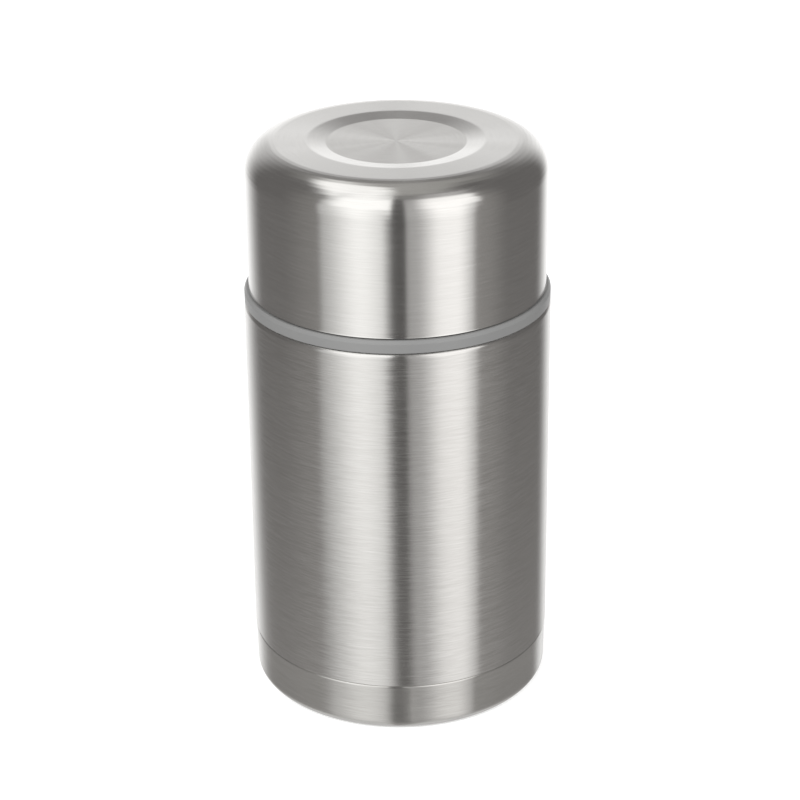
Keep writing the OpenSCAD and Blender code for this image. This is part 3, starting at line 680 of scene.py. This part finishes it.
# Stopper plug: flange, threaded wall, spout with the gasket's seat, floor, and a tube for the valve's stem
plug = {
    "name": "mouldedPlug", "node": "stopper_plug", "slot": "stopper_plastic", "closed": True,
    "corners": [
        (2.65, plugFloor, 0), (33.05, plugFloor, 0.8), (33.05, plugFloor + 3.2, 0.1),
        (33.65, plugFloor + 4.2, 0.3), (33.05, plugFloor + 5.2, 0.1), (33.05, ledge + 2.8, 0.2),
        (36.55, ledge + 2.8, 0.5), (36.55, lip + 0.3, 0.3), (39.85, lip + 0.3, 0.3),
        (39.85, flange, 0.05), (34.55, flange, 0), (34.55, ledge + 4.8, 0), (31.05, ledge + 4.8, 0),
        (31.05, plugFloor + 2, 0), (4.95, plugFloor + 2, 0), (4.95, flange, 0), (2.65, flange, 0)],
    "thread": dict(threadForm, side=1, wall=36.55, low=ledge + 4.9, firstAngle=-closedThreadTurn),
}
plugFinish = dict(
    collarFinish, material="polypropyleneMouldedDarkGrey", dark="#6D6F71", light="#76787A",
    roughest=0.46, smoothest=0.36)
plugPlastic = makeMaterial(mouldedPlastic, plugFinish)
turnedPiece(plug, plugPlastic)

# Stopper cap: a grip with upright flutes, a tray, and the button's well in the middle
fluteFoot, fluteFull = 150.5, 152.1  # heights in mm, where a flute starts and where it is at its deepest

cap = {
    "name": "mouldedGripCap", "node": "stopper_cap", "slot": "stopper_plastic", "closed": True,
    "steps": 576,
    "corners": [
        (37.85, flange, 0), (39.85, flange, 0.15), (39.85, fluteFoot, 0),
        (39.85, fluteFoot + 0.4, 0), (39.85, fluteFoot + 0.9, 0), (39.85, fluteFull, 0),
        (39.85, capTop, 1), (34.85, capTop, 0.6), (32.35, capTop - 2.5, 0.8),
        (16.75, capTop - 2.5, 0.8), (14.25, capTop, 0.6), (11.25, capTop, 0.3),
        (11.25, wellFloor, 0.3), (2.65, wellFloor, 0.1), (2.65, flange, 0), (4.95, flange, 0),
        (4.95, wellFloor - 2, 0.5), (13.25, wellFloor - 2, 0.8), (13.25, capTop - 4.5, 0.8),
        (37.85, capTop - 4.5, 0.8)],
    "flutes": {"count": 36, "wall": 39.85, "radius": 1.6, "depth": 0.7},
}


def cutFlutes(bm, flutes):
    # pushes the wall's points in to round grooves, which fade out at their feet
    wallInside = flutes["wall"] - flutes["depth"]
    axis = wallInside + flutes["radius"]
    spacing = fullTurn / flutes["count"]
    for vert in bm.verts:
        radius, height = vert.co.xy.length / mm, vert.co.z / mm
        if radius < wallInside or height < fluteFoot:
            continue
        turn = math.atan2(vert.co.y, vert.co.x)
        offset = turn - spacing * math.floor(turn / spacing + 0.5)
        across = axis * math.sin(offset)
        if abs(across) < flutes["radius"]:
            cut = axis * math.cos(offset) - math.sqrt(flutes["radius"] ** 2 - across ** 2)
            fade = min(1, (height - fluteFoot) / (fluteFull - fluteFoot))
            vert.co.xy *= (radius - fade * max(0, radius - cut)) / radius


def gripCap(settings, material):
    bm = bmesh.new()
    turnProfile(bm, settings["corners"], settings["closed"], settings["steps"])
    cutFlutes(bm, settings["flutes"])
    return finishPiece(settings, bm, material)


gripCap(cap, plugPlastic)


# Polyurethane foam, poured and set in the plug: cream, matt, full of small cells
def pouredFoam(tree, inMm, finish):
    cells = addNode(tree, "ShaderNodeTexVoronoi", {
        "Vector": inMm, "Scale": 1 / finish["cellSize"]}).outputs["Distance"]
    uneven = addNode(tree, "ShaderNodeTexNoise", {
        "Vector": inMm, "Scale": 1 / finish["patchSize"], "Detail": 3.0}).outputs["Fac"]
    tone = addNode(tree, "ShaderNodeMath", {0: cells, 1: uneven}, operation="ADD").outputs[0]
    share = addNode(tree, "ShaderNodeMapRange", {
        "Value": tone, "From Min": 0.5, "From Max": 1.2}).outputs["Result"]
    colour = addNode(tree, "ShaderNodeMix", {
        mixBy: share, mixFrom: linearColour(finish["dark"]), mixTo: linearColour(finish["light"])},
        data_type="RGBA").outputs[mixed]
    bump = addNode(tree, "ShaderNodeBump", {
        "Height": cells, "Strength": 1.0, "Distance": finish["cellDepth"] * mm}).outputs["Normal"]
    return addNode(tree, "ShaderNodeBsdfPrincipled", {
        "Base Color": colour, "Roughness": finish["roughness"], "Specular IOR Level": finish["gloss"],
        "Normal": bump})


plugFoam = {
    "name": "pouredPlugFoam", "node": "stopper_foam", "slot": "foam", "closed": True,
    "corners": [
        (5.15, plugFloor + 2, 0.3), (30.85, plugFloor + 2, 0.3), (30.85, ledge + 4.8, 0.3),
        (34.35, ledge + 5, 0.3), (34.35, flange - 0.5, 0.6), (5.15, flange - 0.5, 0.6)],
}
plugFoamFinish = {
    "material": "polyurethaneFoamPoured", "dark": "#D6CCB2", "light": "#EFE8D5", "cellSize": 0.8,
    "patchSize": 12, "cellDepth": 0.25, "roughness": 0.9, "gloss": 0.2,
}
turnedPiece(plugFoam, makeMaterial(pouredFoam, plugFoamFinish))
print("stopper made")


# Silicone rubber, pressed in a polished mould: milky, a little translucent, with a soft sheen and some dust
def pressedSilicone(tree, inMm, finish):
    milk = addNode(tree, "ShaderNodeTexNoise", {
        "Vector": inMm, "Scale": 1 / finish["milkSize"], "Detail": 2.0}).outputs["Fac"]
    dust = addNode(tree, "ShaderNodeTexNoise", {
        "Vector": inMm, "Scale": 1 / finish["dustSize"], "Detail": 3.0}).outputs["Fac"]
    colour = addNode(tree, "ShaderNodeMix", {
        mixBy: milk, mixFrom: linearColour(finish["dark"]), mixTo: linearColour(finish["light"])},
        data_type="RGBA").outputs[mixed]
    rough = addNode(tree, "ShaderNodeMapRange", {
        "Value": dust, "From Min": 0.35, "From Max": 0.7,
        "To Min": finish["smoothest"], "To Max": finish["roughest"]}).outputs["Result"]
    bump = addNode(tree, "ShaderNodeBump", {
        "Height": dust, "Strength": 1.0, "Distance": finish["dustDepth"] * mm}).outputs["Normal"]
    return addNode(tree, "ShaderNodeBsdfPrincipled", {
        "Base Color": colour, "Roughness": rough, "IOR": finish["ior"],
        "Subsurface Weight": finish["glow"], "Subsurface Radius": finish["glowSpread"],
        "Subsurface Scale": finish["glowDepth"] * mm, "Normal": bump})


siliconeFinish = {
    "material": "siliconeRubberPressed", "dark": "#D3D3CE", "light": "#E2E2DE", "milkSize": 6,
    # in mm. Real specks of dust are finer, and are drawn coarse enough to show
    "dustSize": 0.3, "dustDepth": 0.006, "roughest": 0.6, "smoothest": 0.42, "ior": 1.41,
    "glow": 0.35, "glowSpread": (1.0, 0.9, 0.8), "glowDepth": 1.5,  # light that goes in and comes out again
}
silicone = makeMaterial(pressedSilicone, siliconeFinish)

plugGasket = {
    "name": "plugGasket", "node": "stopper_gasket", "slot": "silicone", "closed": True,
    "corners": [(33.3, ledge, 0.2), (36.3, ledge, 0.5), (36.3, ledge + 2.8, 0.5), (33.3, ledge + 2.8, 0.2)],
}
turnedPiece(plugGasket, silicone)

cupGasket = {
    "name": "cupGasket", "node": "cup_gasket", "slot": "silicone", "closed": True,
    "corners": [(40.45, spigotTop, 0.2), (43.85, spigotTop, 0.4), (43.85, lip, 0.4), (40.45, lip, 0.2)],
}
turnedPiece(cupGasket, silicone)

valveDisc = {
    "name": "valveDisc", "node": "valve_seal", "slot": "silicone", "closed": True, "steps": 96,
    "corners": [
        (1.85, plugFloor - 1.6, 0), (5.7, plugFloor - 1.6, 0.2), (6.5, plugFloor - 0.8, 0.2),
        (6.5, plugFloor, 0.2), (1.85, plugFloor, 0)],
}
turnedPiece(valveDisc, silicone)
print("silicone rings made")


# Valve: a button that pushes a stem down, so that the disc leaves its seat and lets steam out
button = {
    "name": "mouldedButton", "node": "valve_button", "slot": "button_plastic", "steps": 160,
    "corners": [
        (0, capTop + 0.6, 0), (11, capTop + 0.6, 0.9), (11, stemTop - 4.2, 0.2),
        (9, stemTop - 4.2, 0.2), (9, stemTop, 0.4), (3.6, stemTop, 0.2), (3.6, stemTop - 2.4, 0.1),
        (2.45, stemTop - 2.4, 0), (2.45, stemTop, 0), (0, stemTop, 0)],
}
buttonFinish = dict(
    collarFinish, material="polypropyleneMouldedLightGrey", dark="#8E9092", light="#97999B",
    roughest=0.4, smoothest=0.3)
turnedPiece(button, makeMaterial(mouldedPlastic, buttonFinish))

stem = {
    "name": "mouldedStem", "node": "valve_stem", "slot": "cup_plastic", "steps": 64,
    "corners": [
        (0, plugFloor - 3.6, 0), (1.8, plugFloor - 3.6, 0.2), (2.4, plugFloor - 2.8, 0.15),
        (1.8, plugFloor - 2.8, 0), (1.8, plugFloor, 0), (2.4, plugFloor, 0.1), (2.4, stemTop, 0.2),
        (0, stemTop, 0)],
}
stemFinish = dict(cupLinerFinish, material="acetalMouldedWhite", dark="#D8D8D4", light="#E1E1DE")
stemPlastic = makeMaterial(mouldedPlastic, stemFinish)
turnedPiece(stem, stemPlastic)

retainer = {
    "name": "mouldedRetainer", "node": "valve_retainer", "slot": "cup_plastic", "closed": True, "steps": 96,
    "corners": [
        (1.85, plugFloor - 2.8, 0.1), (4.5, plugFloor - 2.8, 0.3), (4.5, plugFloor - 1.6, 0.3),
        (1.85, plugFloor - 1.6, 0.1)],
}
turnedPiece(retainer, stemPlastic)

spring = {
    "name": "woundSpring", "node": "valve_spring", "slot": "spring_steel",
    "wireRadius": 0.35, "wireSides": 12, "coilRadius": 4.3, "low": wellFloor + 0.35, "rise": 6.25,
    "turns": 4, "stepsPerTurn": 48,
    "squashed": 0.64,  # share of its length that is left under a pressed button
}
springFinish = dict(
    bottleFinish, material="springSteelDrawnWire", dark="#B9B8B5", light="#DBDAD7",
    lines=[(0.08, 5, 0.5)], cloudSize=4, roughest=0.3, smoothest=0.18)


def woundSpring(settings, material):
    bm = bmesh.new()
    bmesh.ops.create_circle(bm, cap_ends=True, segments=settings["wireSides"],
                            radius=settings["wireRadius"] * mm)
    bmesh.ops.rotate(bm, verts=bm.verts, cent=(0, 0, 0), matrix=Matrix.Rotation(math.pi / 2, 3, "X"))
    bmesh.ops.translate(bm, verts=bm.verts, vec=(settings["coilRadius"] * mm, 0, settings["low"] * mm))
    spinAll(bm, settings["turns"] * fullTurn, settings["turns"] * settings["stepsPerTurn"],
            rise=settings["rise"])
    closeSkin(bm)
    piece = finishPiece(settings, bm, material)
    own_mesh(piece)


woundSpring(spring, makeMaterial(brushedSteel, springFinish))
print("valve made")


# Sealing glass, melted into the dimple: dark, glossy, with a few small bubbles
def fusedGlass(tree, inMm, finish):
    bubbles = addNode(tree, "ShaderNodeTexVoronoi", {
        "Vector": inMm, "Scale": 1 / finish["bubbleSpacing"]}).outputs["Distance"]
    clear = addNode(tree, "ShaderNodeMapRange", {
        "Value": bubbles, "From Min": 0.15, "From Max": 0.3}).outputs["Result"]
    colour = addNode(tree, "ShaderNodeMix", {
        mixBy: clear, mixFrom: linearColour(finish["light"]), mixTo: linearColour(finish["dark"])},
        data_type="RGBA").outputs[mixed]
    rough = addNode(tree, "ShaderNodeMapRange", {
        "Value": clear, "To Min": finish["roughest"], "To Max": finish["smoothest"]}).outputs["Result"]
    bump = addNode(tree, "ShaderNodeBump", {
        "Height": clear, "Strength": 1.0, "Distance": finish["bubbleDepth"] * mm}).outputs["Normal"]
    return addNode(tree, "ShaderNodeBsdfPrincipled", {
        "Base Color": colour, "Roughness": rough, "IOR": finish["ior"], "Normal": bump})


# Getter pellet: metal powder, pressed and sintered, which leaves it dark, dull and grainy
def sinteredPowder(tree, inMm, finish):
    grains = addNode(tree, "ShaderNodeTexVoronoi", {
        "Vector": inMm, "Scale": 1 / finish["grainSize"]}).outputs
    shade = addNode(tree, "ShaderNodeSeparateColor", {"Color": grains["Color"]}).outputs["Red"]
    colour = addNode(tree, "ShaderNodeMix", {
        mixBy: shade, mixFrom: linearColour(finish["dark"]), mixTo: linearColour(finish["light"])},
        data_type="RGBA").outputs[mixed]
    bump = addNode(tree, "ShaderNodeBump", {
        "Height": grains["Distance"], "Strength": 1.0, "Distance": finish["grainDepth"] * mm},
        invert=True).outputs["Normal"]
    return addNode(tree, "ShaderNodeBsdfPrincipled", {
        "Base Color": colour, "Metallic": finish["metal"], "Roughness": finish["roughness"],
        "Normal": bump})


# Aluminium foil, rolled and wrapped by hand: bright, with sharp random creases, and painted shade in them
def wrappedFoil(tree, inMm, finish):
    wander = addNode(tree, "ShaderNodeTexNoise", {
        "Vector": inMm, "Scale": 1 / finish["creaseSpacing"], "Detail": 2.0}).outputs["Color"]
    bent = addNode(tree, "ShaderNodeVectorMath", {
        0: wander, 1: [finish["wander"]] * 3, 2: inMm}, operation="MULTIPLY_ADD").outputs[0]
    creases = addNode(tree, "ShaderNodeTexVoronoi", {
        "Vector": bent, "Scale": 1 / finish["creaseSpacing"]}, feature="DISTANCE_TO_EDGE").outputs["Distance"]
    flat = addNode(tree, "ShaderNodeMapRange", {
        "Value": creases, "From Min": 0.0, "From Max": 0.15},
        interpolation_type="SMOOTHSTEP").outputs["Result"]
    # painted shade: the foil is drawn darker in its creases
    colour = addNode(tree, "ShaderNodeMix", {
        mixBy: flat, mixFrom: linearColour(finish["dark"]), mixTo: linearColour(finish["light"])},
        data_type="RGBA").outputs[mixed]
    rough = addNode(tree, "ShaderNodeMapRange", {
        "Value": flat, "To Min": finish["roughest"], "To Max": finish["smoothest"]}).outputs["Result"]
    bump = addNode(tree, "ShaderNodeBump", {
        "Height": flat, "Strength": 1.0, "Distance": finish["creaseDepth"] * mm}).outputs["Normal"]
    return addNode(tree, "ShaderNodeBsdfPrincipled", {
        "Base Color": colour, "Metallic": 1.0, "Roughness": rough, "Normal": bump})


# Small parts in the vacuum, whose solids already have the right shape
sealFinish = {
    "material": "sealingGlassFused", "dark": "#33373B", "light": "#6B7075", "bubbleSpacing": 0.9,
    "bubbleDepth": 0.05, "roughest": 0.3, "smoothest": 0.08, "ior": 1.6,
}
clipFinish = {
    "material": "nickelPlatedSteelPressed", "dark": "#8C8880", "light": "#B5B1A8", "cloudSize": 3,
    "pitSpacing": 0.5, "pitDepth": 0.004, "roughest": 0.4, "smoothest": 0.25,
}
pelletFinish = {
    "material": "getterPowderSintered", "dark": "#3F3E3D", "light": "#76736F",
    "grainSize": 0.25,  # mm. The powder is finer, and its grains are drawn coarse enough to show
    "grainDepth": 0.05, "metal": 0.7, "roughness": 0.75,
}
# the foil's dark tone is the painted shade in its creases
foilFinish = {
    "material": "aluminiumFoilRolled", "dark": "#A8A9AB", "light": "#E3E4E5", "creaseSpacing": 14,
    "creaseDepth": 0.3, "wander": 6, "roughest": 0.35, "smoothest": 0.16,
}
hiddenParts = {
    "pump_out_seal": makeMaterial(fusedGlass, sealFinish),
    "getter_clip": makeMaterial(pressedSheet, clipFinish),
    "getter_pellet": makeMaterial(sinteredPowder, pelletFinish),
    "reflective_foil": makeMaterial(wrappedFoil, foilFinish),
}


def dressSolids(materials):
    for node, material in materials.items():
        for place in frame["nodes"][node].material_slots:
            place.material = material


dressSolids(hiddenParts)
print("small parts in the vacuum dressed")
